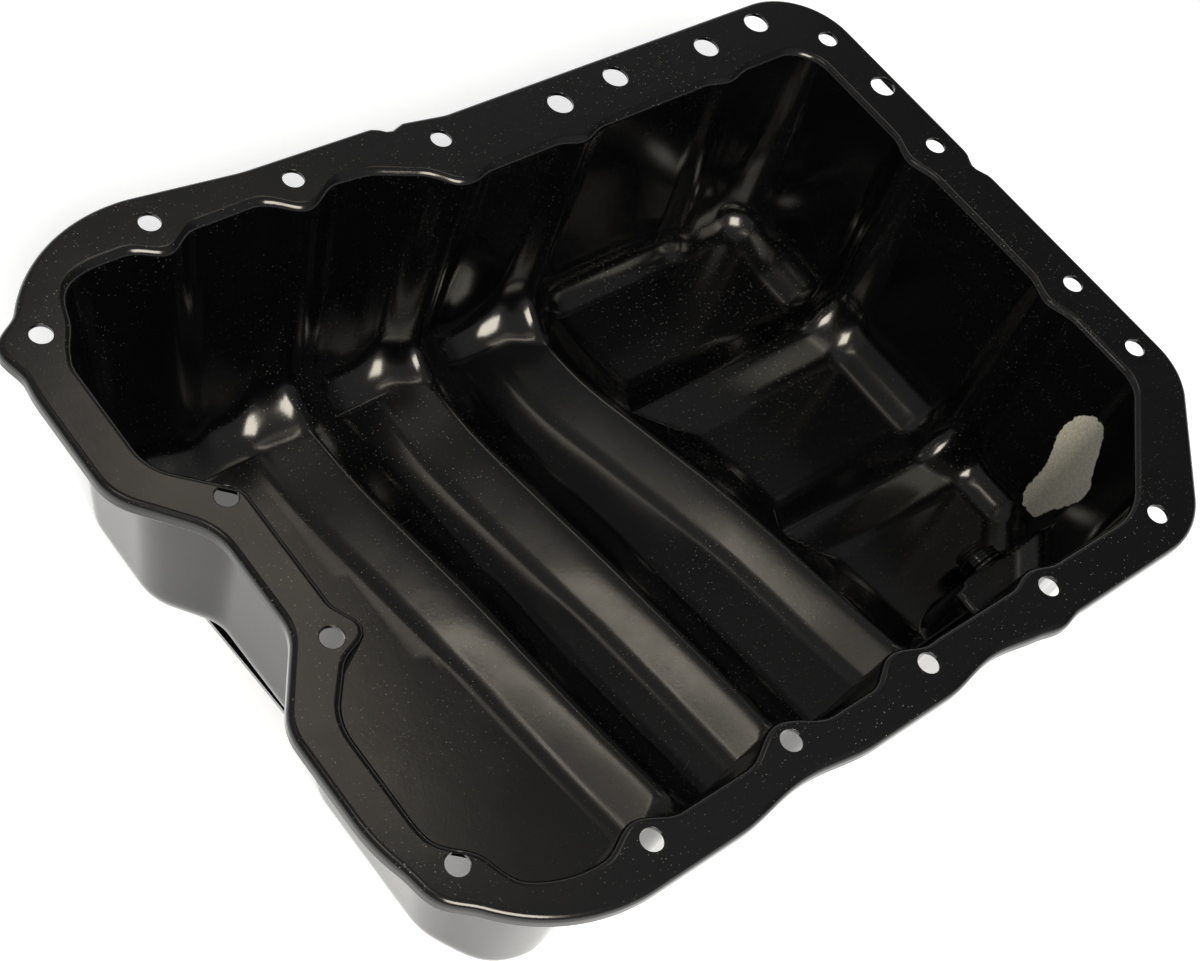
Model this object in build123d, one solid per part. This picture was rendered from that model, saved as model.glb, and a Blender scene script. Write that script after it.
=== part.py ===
"""Engine oil pan: one deep pressing of steel sheet with a bolt flange, and its drain fitting.

The pan is drawn about the middle of its bolt field, on the gasket face, and its pieces are then
moved so that the origin is the datum: midway between the second and the last bolt of the front
row. X runs along the pan towards its wide end, Y across it towards the side with the large bolts,
and Z up out of the open side. All sizes are in millimetres.
"""

import math
import os

from build123d import *

# Sheet and depths
SHEET = 1.5
DEPTH = 82.5
MOUTH_BEND = 4.5
FLOOR_BEND = 12.0
BEND_STEPS = 3

# Rolled edge of the flange: outside radius of the roll and how far the edge hangs down
LIP_BEND = 2.2
LIP_DEPTH = 5.0

# Walls of the cavity at the gasket face, and the same walls at the floor
RIGHT = 147.5
RIGHT_LOW = 142.0
BACK = 98.2
BACK_LOW = 95.4
STEP_BACK = 119.2
FRONT = -106.3
FRONT_LOW = -103.2
FRONT_LEFT = -109.0
FRONT_LEFT_LOW = -104.2
LOBE_BACK = -154.1
LOBE_BACK_LOW = -146.7
LOBE_FRONT = -153.3
LOBE_FRONT_LOW = -139.0
WAIST = -134.4
WAIST_LOW = -133.2

# Outer edge of the flange
RIM_RIGHT = 167.6
RIM_BACK = 124.3
RIM_STEP = 130.4
RIM_LOBE = 137.0
RIM_LEFT_BACK = -169.5
RIM_LEFT_FRONT = -167.0
RIM_WAIST = -149.0
RIM_FRONT = -122.9

# Bolt holes
SMALL_HOLE = 7.0
LARGE_HOLE = 9.0
FRONT_ROW = -113.8
FRONT_PITCH = 54.6
FRONT_FIRST = 115.0
BACK_LOW_ROW = 114.9
BACK_HIGH_ROW = 116.9
BACK_PITCH = 67.4
RIGHT_ROW = 160.7
WAIST_ROW = -142.9

# Pressed channels that cross the floor
CHANNEL_HALF = 15.0
CHANNEL_LIFT = 8.5
CROSS_HALF = 12.0
CROSS_LIFT = 7.0
CREST_RADIUS = 5.0
FOOT_RADIUS = 12.0
FOOT_DIP = 0.4

# Ledge for the drain fitting, at the foot of the front wall: its height over the floor, how far
# it stands in from the wall at the gasket face, and where it begins
LEDGE_RISE = 21.5
LEDGE_REACH = 25.8
LEDGE_LEFT = 80.0
LEDGE_RADIUS = 2.2
LEDGE_CORNER = 9.0

# Drain fitting
DRAIN_RUN = 28.3
DRAIN_DROP = 12.8
THREAD = 12.0
THREAD_CLEARANCE = 0.15
NUT_OUTSIDE = 16.0
NUT_LENGTH = 5.5
NUT_GROOVE = 0.6
PLUG_REACH = 10.0
PLUG_LEAD = 1.2
WASHER_OUTSIDE = 18.0
WASHER_THICK = 2.0
HEAD_FLATS = 14.0
HEAD_HEIGHT = 7.0
HEAD_FLANGE = 17.0
HEAD_FLANGE_THICK = 2.0

# Spacing of the points that the wall and the flange edge run through
WALL_SPACING = 5.0
RIM_SPACING = 4.0

# How much of a run between two corners their arcs may take up
RUN_SHARE = 0.99

# Places that follow from the sizes above
LEDGE_TOP = LEDGE_RISE - DEPTH
LEDGE_FACE = FRONT + LEDGE_REACH
DRAIN_X = LEDGE_LEFT + DRAIN_RUN
DRAIN_Z = LEDGE_TOP - DRAIN_DROP

# Corners of the cavity, counterclockwise: x, y and radius at the gasket face, then at the floor
WALL_CORNERS = [
    ((108.2, FRONT, 24), (104.0, FRONT_LOW, 22)),
    ((RIGHT, FRONT + 36.2, 11), (RIGHT_LOW, FRONT_LOW + 37.0, 15)),
    ((RIGHT - 2.2, BACK, 10), (RIGHT_LOW - 1.0, BACK_LOW, 15)),
    ((-3.0, BACK + 0.2, 18), (-3.0, BACK_LOW + 0.1, 18)),
    ((-35.0, STEP_BACK - 4.6, 12), (-35.0, BACK_LOW + 0.6, 18)),
    ((-76.0, STEP_BACK - 0.2, 30), (-76.0, BACK_LOW + 0.2, 30)),
    ((LOBE_BACK, STEP_BACK, 24), (LOBE_BACK_LOW, BACK_LOW + 0.2, 20)),
    ((LOBE_BACK, 52.5, 14), (LOBE_BACK_LOW, 50.0, 18)),
    ((WAIST, 34.0, 9), (WAIST_LOW - 0.6, 33.0, 15)),
    ((WAIST, -20.5, 9), (WAIST_LOW + 0.4, -8.0, 15)),
    ((LOBE_FRONT, -42.5, 16), (LOBE_FRONT_LOW, -32.0, 18)),
    ((LOBE_FRONT, FRONT_LEFT, 34), (LOBE_FRONT_LOW + 0.7, FRONT_LEFT_LOW, 24)),
    ((-14.0, FRONT_LEFT, 12), (-14.0, FRONT_LEFT_LOW, 15)),
    ((14.0, FRONT + 0.1, 12), (14.0, FRONT_LOW - 0.1, 15)),
]

# Corners of the flange's flat, counterclockwise: x, y and radius
RIM_CORNERS = [
    (123.2, RIM_FRONT, 30),
    (RIM_RIGHT + 0.9, RIM_FRONT + 47.6, 27),
    (RIM_RIGHT - 1.5, RIM_BACK - 0.7, 25),
    (3.0, RIM_BACK + 1.0, 12),
    (-24.0, RIM_STEP, 15),
    (-72.0, RIM_STEP + 1.7, 60),
    (-112.0, RIM_LOBE + 0.6, 40),
    (RIM_LEFT_BACK, RIM_LOBE, 54),
    (RIM_LEFT_BACK + 0.2, 48.6, 18),
    (RIM_WAIST, 25.6, 22),
    (RIM_WAIST, -13.0, 18),
    (RIM_LEFT_FRONT, -37.0, 16),
    (RIM_LEFT_FRONT, RIM_FRONT - 0.9, 56),
]


def front_bolt(place, inset=0.0):
    """A bolt of the front row, counted from the wide end, set in from the row by the inset."""
    return FRONT_FIRST - place * FRONT_PITCH, FRONT_ROW + inset


SMALL_BOLTS = [
    (RIM_LEFT_BACK + 10.6, RIM_LOBE - 32.1),
    (-108.8, RIM_LOBE - 9.1),
    (-59.0, RIM_STEP - 6.2),
    (-4.8, RIM_BACK - 5.7),
    (RIM_RIGHT - 10.0, RIM_BACK - 25.1),
    (RIGHT_ROW - 1.3, 41.4),
    (RIGHT_ROW, -29.5),
    (RIGHT_ROW, -60.6),
    front_bolt(0, 0.8),
    front_bolt(1),
    front_bolt(2),
    front_bolt(3, 2.4),
    front_bolt(4),
    (RIM_LEFT_FRONT + 14.1, RIM_FRONT + 31.0),
    (WAIST_ROW, -19.7),
    (WAIST_ROW, 32.7),
]

LARGE_BOLTS = [
    (43.1, BACK_LOW_ROW),
    (43.1 + BACK_PITCH, BACK_LOW_ROW),
    (69.4, BACK_HIGH_ROW),
    (69.4 + BACK_PITCH, BACK_HIGH_ROW),
    (RIGHT_ROW + 0.4, 72.1),
]

# Scallops that the wall makes round the bolts. Each has its x, y, depth and half width at the
# gasket face, then its x, y and depth at the floor, where some run on into a channel.
SCALLOPS = [
    ((-147.5, 103.5), 5.0, 14, (-140.0, 92.0), 2.0),
    ((-109.0, STEP_BACK), 5.5, 13, (-109.0, BACK_LOW), 2.0),
    ((-60.0, STEP_BACK - 2), 7.0, 15, (-68.7, BACK_LOW), CHANNEL_LIFT),
    ((-8.5, BACK + 3), 3.5, 13, (-19.6, BACK_LOW), CHANNEL_LIFT),
    ((42.0, BACK), 2.5, 11, (27.5, BACK_LOW), CHANNEL_LIFT),
    ((109.0, BACK), 2.2, 11, (109.0, BACK_LOW), 2.0),
    ((RIGHT - 2, 41.2), 3.0, 12, (RIGHT_LOW, 34.3), CROSS_LIFT),
    ((RIGHT - 1, -30.3), 3.0, 12, (RIGHT_LOW, -31.5), CROSS_LIFT),
    ((59.0, FRONT), 2.5, 11, (58.9, FRONT_LOW), CHANNEL_LIFT),
    ((-2.0, FRONT_LEFT + 1), 5.0, 14, (-2.0, FRONT_LEFT_LOW), CHANNEL_LIFT),
    ((-49.0, FRONT_LEFT), 6.5, 17, (-49.0, FRONT_LEFT_LOW), CHANNEL_LIFT),
    ((-104.5, FRONT_LEFT), 5.0, 14, (-104.5, FRONT_LEFT_LOW), 2.0),
    ((-146.0, -92.0), 4.6, 13, (-133.0, -90.0), 1.0),
]

# Small ears (negative) and dips (positive) of the flange's edge: x, y, depth and half width
RIM_WAVES = [
    ((-168.5, 105.0), -5.0, 13),
    ((-18.0, 129.3), 2.4, 6),
    ((RIM_RIGHT - 0.5, 27.5), 2.6, 7),
    ((55.0, RIM_FRONT), -1.6, 10),
    ((27.0, RIM_FRONT), 2.9, 23),
    ((-53.0, RIM_FRONT), 2.9, 27),
    ((-161.0, -96.0), -2.0, 12),
]

# Crest lines of the channels from the back wall to the front wall, as x, y
CHANNEL_RUNS = [
    [(-68.7, 112), (-68.2, 55), (-58.9, -4), (-49.5, -88), (-48.0, -122)],
    [(-19.6, 112), (-20.8, 55), (-11.0, -4), (-2.6, -84), (-1.5, -122)],
    [(27.5, 112), (26.5, 58), (44.5, -4), (57.5, -84), (60.5, -122)],
]
CROSS_RUNS = [
    [(33.5, 34.3), (RIGHT_LOW + 18, 34.3)],
    [(49.0, -31.5), (RIGHT_LOW + 18, -31.5)],
]


def mix(first, second, share):
    """The values that lie the given share of the way from the first to the second."""
    return tuple(a + (b - a) * share for a, b in zip(first, second))


def corner_arc(before, corner, after):
    """Start, end, centre, radius and half turn of the arc that rounds a corner."""
    here = Vector(*corner[:2])
    back = (Vector(*before[:2]) - here).normalized()
    ahead = (Vector(*after[:2]) - here).normalized()
    half = math.acos(back.dot(ahead)) / 2
    reach = corner[2] / math.tan(half)
    centre = here + (back + ahead).normalized() * (corner[2] / math.sin(half))
    return here + back * reach, here + ahead * reach, centre, corner[2], math.pi / 2 - half


def point_on_arc(arc, angle):
    """The point at an angle past the arc's middle, and the direction into the outline there."""
    start, end, centre, radius, _ = arc
    middle = ((start - centre) + (end - centre)).normalized()
    turn = 1 if (end - start).cross(centre - start).Z > 0 else -1
    spoke = middle.rotate(Axis.Z, math.degrees(angle * turn))
    return centre + spoke * radius, spoke * -turn


def fitted_arcs(corners):
    """The arcs of an outline's corners, each no larger than the runs beside it have room for."""
    last = len(corners)
    rows = [(corners[i - 1], corners[i], corners[(i + 1) % last]) for i in range(last)]
    reach = [(Vector(*row[1][:2]) - corner_arc(*row)[0]).length for row in rows]
    arcs = []
    for i, (before, corner, after) in enumerate(rows):
        room = math.dist(before[:2], corner[:2]) / (reach[i - 1] + reach[i])
        room = min(room, math.dist(after[:2], corner[:2]) / (reach[i] + reach[(i + 1) % last]))
        radius = corner[2] * min(1.0, RUN_SHARE * room)
        arcs.append(corner_arc(before, (*corner[:2], radius), after))
    return arcs


def rounded_points(corners, counts):
    """Evenly spaced points with inward directions, run by run between the corners' middles."""
    last = len(corners)
    arcs = fitted_arcs(corners)
    points = []
    for index, count in enumerate(counts):
        first, second = arcs[index], arcs[(index + 1) % last]
        straight = second[0] - first[1]
        leave = first[3] * first[4]
        arrive = leave + straight.length
        whole = arrive + second[3] * second[4]
        ahead = straight.normalized()
        for step in range(count):
            run = whole * step / count
            if run < leave:
                points.append(point_on_arc(first, run / first[3]))
            elif run < arrive:
                points.append((first[1] + ahead * (run - leave), Vector(-ahead.Y, ahead.X)))
            else:
                points.append(point_on_arc(second, (run - arrive) / second[3] - second[4]))
    return points


def run_counts(corners, spacing):
    """How many points each run between two corners gets."""
    pairs = zip(corners, corners[1:] + corners[:1])
    return [max(3, round(math.dist(a[:2], b[:2]) / spacing)) for a, b in pairs]


def swell(point, inward, middle, depth, half):
    """How far a scallop pushes a point of an outline in, as a smooth hump along the outline."""
    offset = point - Vector(*middle)
    along = abs(offset.dot(Vector(inward.Y, -inward.X)))
    if along > half or abs(offset.dot(inward)) > half + FLOOR_BEND:
        return 0.0
    return depth * math.cos(math.pi / 2 * along / half) ** 2


def smooth_wire(points, counts, level):
    """A closed wire at one level, with one smooth edge for each run between two corners."""
    raised = [Vector(point.X, point.Y, level) for point in points]
    total = len(raised)
    edges = []
    start = 0
    for count in counts:
        run = [raised[(start + i) % total] for i in range(count + 1)]
        leave = raised[(start + 1) % total] - raised[start - 1]
        arrive = raised[(start + count + 1) % total] - raised[(start + count - 1) % total]
        edges.append(
            Edge.make_spline(
                run,
                tangents=[leave * (count / 2), arrive * (count / 2)],
                parameters=[i / count for i in range(count + 1)],
                scale=False,
            )
        )
        start += count
    return Wire(edges)


WALL_COUNTS = run_counts([corner for corner, _ in WALL_CORNERS], WALL_SPACING)
RIM_COUNTS = run_counts(RIM_CORNERS, RIM_SPACING)


def wall_section(depth, inset, level):
    """The cavity's outline at a depth, moved inwards by the inset and drawn at a level."""
    share = min(max(depth / DEPTH, 0.0), 1.0)
    corners = [mix(top, low, share) for top, low in WALL_CORNERS]
    points = []
    for point, inward in rounded_points(corners, WALL_COUNTS):
        push = inset
        for top, deep, half, low, foot in SCALLOPS:
            here = mix(top, low, share)
            push += swell(point, inward, here, deep + (foot - deep) * share, half)
        points.append(point + inward * push)
    return smooth_wire(points, WALL_COUNTS, level)


def wall_profile(skin):
    """Depth, inset and level of each section, for the skin's distance outside the cavity."""
    mouth = MOUTH_BEND - skin
    floor = FLOOR_BEND + skin
    foot = DEPTH - FLOOR_BEND
    rows = []
    for step in range(BEND_STEPS + 1):
        turn = math.pi / 2 * step / BEND_STEPS
        drop = MOUTH_BEND - mouth * math.cos(turn)
        rows.append((drop, mouth * math.sin(turn) - MOUTH_BEND, -drop))
    for step in range(BEND_STEPS + 1):
        turn = math.pi / 2 * step / BEND_STEPS
        drop = foot + floor * math.sin(turn)
        rows.append((drop, FLOOR_BEND - floor * math.cos(turn), -drop))
    return rows


def tub(skin):
    """The solid inside the pan's walls, with bends at mouth and floor, flaring on at the mouth."""
    rows = wall_profile(skin)
    flare = tuple(2 * here - below for here, below in zip(rows[0], rows[1]))
    return Solid.make_loft([wall_section(*row) for row in [flare] + rows], ruled=True)


def channel(points, half, lift, base):
    """A bar under the floor that presses a channel up into it, along a crest line."""
    path = Spline(points) if len(points) > 2 else Line(points)
    start, ahead = path @ 0, path % 0
    across = Vector(0, 0, 1).cross(ahead)
    plane = Plane(origin=(start.X, start.Y, base), x_dir=-across, z_dir=ahead)
    up = 1 if plane.y_dir.Z > 0 else -1
    wide = half + FOOT_RADIUS / 2
    rise = [(-wide, -FOOT_DIP), (-half, 0), (0, lift), (half, 0), (wide, -FOOT_DIP)]
    with BuildSketch(plane) as profile:
        with BuildLine():
            top = FilletPolyline(
                [(x, y * up) for x, y in rise], radius=[FOOT_RADIUS, CREST_RADIUS, FOOT_RADIUS]
            )
            Polyline([top @ 1, (wide, -10 * up), (-wide, -10 * up), top @ 0])
        make_face()
    return sweep(profile.sketch, path=path.edge().moved(Location((0, 0, base))))


def channels(base):
    """All channels, pressed up from the given level."""
    bars = [channel(run, CHANNEL_HALF, CHANNEL_LIFT, base) for run in CHANNEL_RUNS]
    bars += [channel(run, CROSS_HALF, CROSS_LIFT, base) for run in CROSS_RUNS]
    return bars


def ledge(skin):
    """The block that the ledge takes out of the foot of the front wall."""
    left = LEDGE_LEFT - skin
    face = LEDGE_FACE - SHEET + skin
    top = LEDGE_TOP - SHEET + skin
    low = -DEPTH - FLOOR_BEND
    near = RIM_FRONT - 10
    block = Pos((left + RIGHT) / 2, (face + near) / 2, (top + low) / 2)
    block *= Box(RIGHT - left, face - near, top - low)
    upright = block.edges().filter_by(Axis.Z).sort_by(Axis.X)[:2].sort_by(Axis.Y)[-1]
    block = fillet(upright, LEDGE_CORNER + skin)
    rim = block.faces().sort_by(Axis.Z)[-1].edges()
    inner = rim.filter_by(lambda edge: (edge @ 0.5).Y > near + 1 and (edge @ 0.5).X < RIGHT - 1)
    return fillet(inner, LEDGE_RADIUS + skin)


def rim_section(inset, level):
    """The flange's outer edge, moved inwards by the inset and drawn at a level."""
    points = []
    for point, inward in rounded_points(RIM_CORNERS, RIM_COUNTS):
        push = inset + sum(swell(point, inward, *wave) for wave in RIM_WAVES)
        points.append(point + inward * push)
    return smooth_wire(points, RIM_COUNTS, level)


def flange():
    """The flat flange with its edge rolled down all round, still without mouth and holes."""
    roll = []
    for step in range(BEND_STEPS + 1):
        turn = math.pi / 2 * step / BEND_STEPS
        roll.append(rim_section(-LIP_BEND * math.sin(turn), LIP_BEND * (math.cos(turn) - 1)))
    plate = Solid.make_loft(roll, ruled=True)
    skirt = Solid.make_loft([rim_section(-LIP_BEND, level) for level in (-LIP_BEND, -LIP_DEPTH)])
    inside = SHEET - LIP_BEND
    under = Solid.make_loft([rim_section(inside, level) for level in (-SHEET, -LIP_DEPTH - 1)])
    return plate + skirt - under


def bolt_holes():
    """Drills for every bolt hole of the flange."""
    drills = []
    for places, size in ((SMALL_BOLTS, SMALL_HOLE), (LARGE_BOLTS, LARGE_HOLE)):
        drills += [Pos(x, y, 0) * Cylinder(size / 2, LIP_DEPTH) for x, y in places]
    return drills


def along_drain(start, shape):
    """Places a shape that stands on its base along the drain axis, from a distance in y."""
    return Pos(DRAIN_X, start, DRAIN_Z) * Rot(X=-90) * shape


def post(radius, height):
    """A cylinder that stands on its base."""
    return Cylinder(radius, height, align=(Align.CENTER, Align.CENTER, Align.MIN))


def pan_body():
    """The pressing: flange, scalloped walls, floor with channels, and the drain ledge."""
    outside = tub(SHEET)
    for bar in channels(-DEPTH - SHEET):
        outside -= bar
    outside -= ledge(0)
    cavity = tub(0)
    for bar in channels(-DEPTH):
        cavity -= bar
    cavity -= ledge(SHEET)
    body = flange() + outside - cavity
    for drill in bolt_holes():
        body -= drill
    reach = 2 * SHEET
    return body - along_drain(LEDGE_FACE - reach, post(THREAD / 2 + THREAD_CLEARANCE, 2 * reach))


def drain_nut():
    """The round weld nut on the inside of the ledge, with grooves round it."""
    nut = post(NUT_OUTSIDE / 2, NUT_LENGTH)
    groove = NUT_LENGTH / 4
    for place in (1, 2, 3):
        ring = post(NUT_OUTSIDE, NUT_GROOVE) - post(NUT_OUTSIDE / 2 - NUT_GROOVE, NUT_GROOVE)
        nut -= Pos(0, 0, groove * place - NUT_GROOVE / 2) * ring
    nut -= post(THREAD / 2 + THREAD_CLEARANCE, NUT_LENGTH)
    return along_drain(LEDGE_FACE, nut)


def plug_washer():
    """The flat sealing ring under the plug's head."""
    ring = post(WASHER_OUTSIDE / 2, WASHER_THICK)
    ring -= post(THREAD / 2 + THREAD_CLEARANCE, WASHER_THICK)
    return along_drain(LEDGE_FACE - SHEET - WASHER_THICK, ring)


def drain_plug():
    """The drain plug: a hexagon head with a collar, outside, and its thread, reaching in."""
    seat = LEDGE_FACE - SHEET - WASHER_THICK
    shank = SHEET + WASHER_THICK + PLUG_REACH
    screw = post(THREAD / 2, shank)
    screw = chamfer(screw.edges().sort_by(Axis.Z)[-1], PLUG_LEAD)
    collar = Pos(0, 0, -HEAD_FLANGE_THICK) * post(HEAD_FLANGE / 2, HEAD_FLANGE_THICK)
    hexagon = extrude(RegularPolygon(HEAD_FLATS / 2, 6, major_radius=False), HEAD_HEIGHT)
    head = Pos(0, 0, -HEAD_FLANGE_THICK - HEAD_HEIGHT) * hexagon
    return along_drain(seat, screw + collar + head)


def from_datum(shape):
    """Moves a piece so that the datum, midway between two bolts of the front row, is the origin."""
    first, last = front_bolt(1), front_bolt(4)
    return Pos(-(first[0] + last[0]) / 2, -(first[1] + last[1]) / 2, 0) * shape


def main():
    os.makedirs("parts", exist_ok=True)
    export_step(from_datum(pan_body()), "parts/pan_body.step")
    export_step(from_datum(drain_nut()), "parts/drain_nut.step")
    export_step(from_datum(plug_washer()), "parts/plug_washer.step")
    export_step(from_datum(drain_plug()), "parts/drain_plug.step")


main()
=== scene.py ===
"""Looks of the engine oil pan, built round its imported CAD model."""

import math
from collections import namedtuple

import bpy
import numpy as np
from mathutils import Matrix, Vector
from mathutils.geometry import delaunay_2d_cdt


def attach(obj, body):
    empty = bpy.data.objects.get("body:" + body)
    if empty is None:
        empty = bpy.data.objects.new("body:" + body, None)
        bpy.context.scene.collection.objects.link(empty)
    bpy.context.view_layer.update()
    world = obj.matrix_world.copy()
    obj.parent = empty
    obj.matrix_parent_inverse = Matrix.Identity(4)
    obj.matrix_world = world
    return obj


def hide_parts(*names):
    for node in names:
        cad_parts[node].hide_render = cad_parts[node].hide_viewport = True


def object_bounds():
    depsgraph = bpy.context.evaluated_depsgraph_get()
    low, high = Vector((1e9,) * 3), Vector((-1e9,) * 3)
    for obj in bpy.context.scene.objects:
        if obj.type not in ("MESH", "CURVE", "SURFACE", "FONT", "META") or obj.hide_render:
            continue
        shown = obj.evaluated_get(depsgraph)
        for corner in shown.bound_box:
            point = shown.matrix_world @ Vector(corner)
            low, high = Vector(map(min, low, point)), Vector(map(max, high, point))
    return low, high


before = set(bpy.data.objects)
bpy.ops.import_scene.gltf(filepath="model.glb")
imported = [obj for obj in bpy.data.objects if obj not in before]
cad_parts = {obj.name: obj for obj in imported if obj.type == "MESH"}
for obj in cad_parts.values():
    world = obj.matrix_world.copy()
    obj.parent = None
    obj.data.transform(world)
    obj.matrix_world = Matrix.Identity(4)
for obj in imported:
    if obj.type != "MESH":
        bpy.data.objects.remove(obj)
cad_low, cad_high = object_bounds()

# The pan is drawn in millimetres about the middle of its bolt field, as in the CAD source, and
# its points are then moved to the row's frame.
SHIFT = np.array([21.5, 113.8, 0.0])
SHEET = 1.5
DEPTH = 82.5

# Bend at the mouth: its width in the solid, and its radius, which is tighter on the painted part
MOUTH, TIGHT_MOUTH, MOUTH_STEPS = 4.5, 2.4, 8
# Depths at which the wall's outline is worked out, and rows of points between the wall's bends
DEPTHS, WALL_ROWS = 56, 20
# Bend between wall and floor, and how much wider it is in the places that follow
BEND, WIDER, BEND_STEPS = 12.0, 4.5, 12
# The right-hand wall, from its x on and between two values of y
WIDE_X, WIDE_FRONT, WIDE_BACK, WIDE_FADE = 120.0, -52.0, 82.0, 20.0
# The back ends of two channels: their x, the half width, and the y from which they count
WIDE_ENDS, WIDE_END_HALF, WIDE_END_Y = (-68.7, 27.5), 26.0, 80.0
# Depth below the mouth and inset at which the floor's height under each fibre is read
FOOT_DEPTH, FOOT_INSET = DEPTH - 6, 2.0

# Rolled edge of the flange: its radius, and the heights of its straight part down to the cut
LIP, LIP_STEPS, LIP_LEVELS = 2.2, 6, (-3.4, -4.4)
# Sheared lower edge: how far it bulges down, and how far its normals lean down
CUT_BULGE, CUT_LEAN, CUT_STEPS = 0.6, 1.2, 6

# Channels: height, slope of the flanks in front and behind, where that changes, and roundings
CREST, SLOPE, BACK_SLOPE = 7.9, 0.56, 0.51
SLOPE_FROM, SLOPE_OVER = -28.0, 32.0
CREST_ROUND, FOOT_ROUND, VALLEY_ROUND = 1.9, 1.9, 0.6
CROSS_CREST, CROSS_SLOPE = 6.3, 0.55
# Ledge that carries the drain fitting
LEDGE_RISE, LEDGE_FACE, LEDGE_LEFT, LEDGE_SOFT = 21.5, -80.5, 78.5, 5.0
LEDGE_LEAN, LEDGE_ROUND = 0.5, 7.0
# A small lump of weld on the ledge's edge, beside the fitting, and the way that it rises
LUMP, LUMP_SIZE, LUMP_HEIGHT = np.array([121.0, -81.0, -61.6]), 2.8, 1.5
LUMP_WAY = np.array([0, 0.5, 0.86])

SMALL_HOLE, LARGE_HOLE, HOLE_SEGMENTS = 3.5, 4.5, 40
# Rounding of the holes' edges, and the width of the even ring of faces round each hole
HOLE_ROUND, HOLE_COLLAR = 0.35, 1.2

# Drain fitting
DRAIN_X, DRAIN_Z = 108.3, -73.8
WASHER, PAST_LEDGE = 2.0, 10.0
# The nut's rings: where each starts, half its width, the radius between them and what they add
NUT_RINGS, RING_HALF, RING_FOOT, RING_SWELL, RING_STEPS = (1.75, 3.0, 4.25), 0.42, 7.15, 0.6, 8
# The plug: half the width across its flats, and the thread's pitch, root, height and steepness
HEAD_HALF = 7.0
THREAD_PITCH, THREAD_ROOT, THREAD_HEIGHT, THREAD_STEEP = 1.25, 5.28, 0.7, 2.4
THREAD_RADIUS, THREAD_LEAD, THREAD_STEP = 6.0, 1.2, 0.15
TURNED_SEGMENTS, PLUG_SEGMENTS = 72, 96
SHARP_ANGLE = 0.7

# Corners of the wall as x, y and radius, at the mouth and at the floor
WALL_CORNERS = [
    ((108.2, -106.3, 24), (104.0, -103.2, 22)),
    ((147.5, -70.1, 11), (142.0, -66.2, 15)),
    ((145.3, 98.2, 10), (141.0, 95.4, 15)),
    ((-3.0, 98.4, 18), (-3.0, 95.5, 18)),
    ((-35.0, 114.6, 12), (-35.0, 96.0, 18)),
    ((-76.0, 119.0, 30), (-76.0, 95.6, 30)),
    ((-154.1, 119.2, 24), (-146.7, 95.6, 20)),
    ((-154.1, 52.5, 14), (-146.7, 50.0, 18)),
    ((-134.4, 34.0, 9), (-133.8, 33.0, 15)),
    ((-134.4, -20.5, 9), (-132.8, -8.0, 15)),
    ((-153.3, -42.5, 16), (-139.0, -32.0, 18)),
    ((-153.3, -109.0, 34), (-138.3, -104.2, 24)),
    ((-14.0, -109.0, 12), (-14.0, -104.2, 15)),
    ((14.0, -106.2, 12), (14.0, -103.3, 15)),
]
# Corners of the flange's flat
RIM_CORNERS = [
    (123.2, -122.9, 30),
    (168.5, -75.3, 27),
    (166.1, 123.6, 25),
    (3.0, 125.3, 12),
    (-24.0, 130.4, 15),
    (-72.0, 132.1, 60),
    (-112.0, 137.6, 40),
    (-169.5, 137.0, 54),
    (-169.3, 48.6, 18),
    (-149.0, 25.6, 22),
    (-149.0, -13.0, 18),
    (-167.0, -37.0, 16),
    (-167.0, -123.8, 56),
]
# Waves of the flange's edge: place, depth inwards and half width
RIM_WAVES = [
    ((-168.5, 105.0), -5.0, 13),
    ((-18.0, 129.3), 2.4, 6),
    ((167.1, 27.5), 2.6, 7),
    ((55.0, -122.9), -1.6, 10),
    ((27.0, -122.9), 2.9, 23),
    ((-53.0, -122.9), 2.9, 27),
    ((-161.0, -96.0), -2.0, 12),
]
SMALL_BOLTS = [
    (-158.9, 104.9), (-108.8, 127.9), (-59.0, 124.2), (-4.8, 118.6), (157.6, 99.2),
    (159.4, 41.4), (160.7, -29.5), (160.7, -60.6), (115.0, -113.0), (60.4, -113.8),
    (5.8, -113.8), (-48.8, -111.4), (-103.4, -113.8), (-152.9, -91.9), (-142.9, -19.7),
    (-142.9, 32.7),
]
LARGE_BOLTS = [(43.1, 114.9), (110.5, 114.9), (69.4, 116.9), (136.8, 116.9), (161.1, 72.1)]
# Humps of the wall round the bolts and at the channels' ends: place, depth and half width at the
# mouth, then place and depth at the floor
SCALLOPS = [
    ((-147.5, 103.5), 5.0, 14, (-140.0, 92.0), 2.0),
    ((-109.0, 119.2), 5.5, 13, (-109.0, 95.4), 2.0),
    ((-60.0, 117.2), 7.0, 15, (-68.7, 95.4), 3.0),
    ((-8.5, 101.2), 3.5, 13, (-19.6, 95.4), 8.5),
    ((42.0, 98.2), 2.5, 11, (27.5, 95.4), 8.5),
    ((109.0, 98.2), 2.2, 11, (109.0, 95.4), 2.0),
    ((145.5, 41.2), 3.0, 12, (142.0, 34.3), 7.0),
    ((146.5, -30.3), 3.0, 12, (142.0, -31.5), 7.0),
    ((59.0, -106.3), 2.5, 11, (58.9, -103.2), 8.5),
    ((-2.0, -108.0), 5.0, 14, (-2.0, -104.2), 8.5),
    ((-49.0, -109.0), 6.5, 17, (-49.0, -104.2), 8.5),
    ((-104.5, -109.0), 5.0, 14, (-104.5, -104.2), 2.0),
    ((-146.0, -92.0), 4.6, 13, (-133.0, -90.0), 1.0),
    ((-134.4, -21.5), 4.4, 12, (-133.2, -12.0), 0.0),
]
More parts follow.
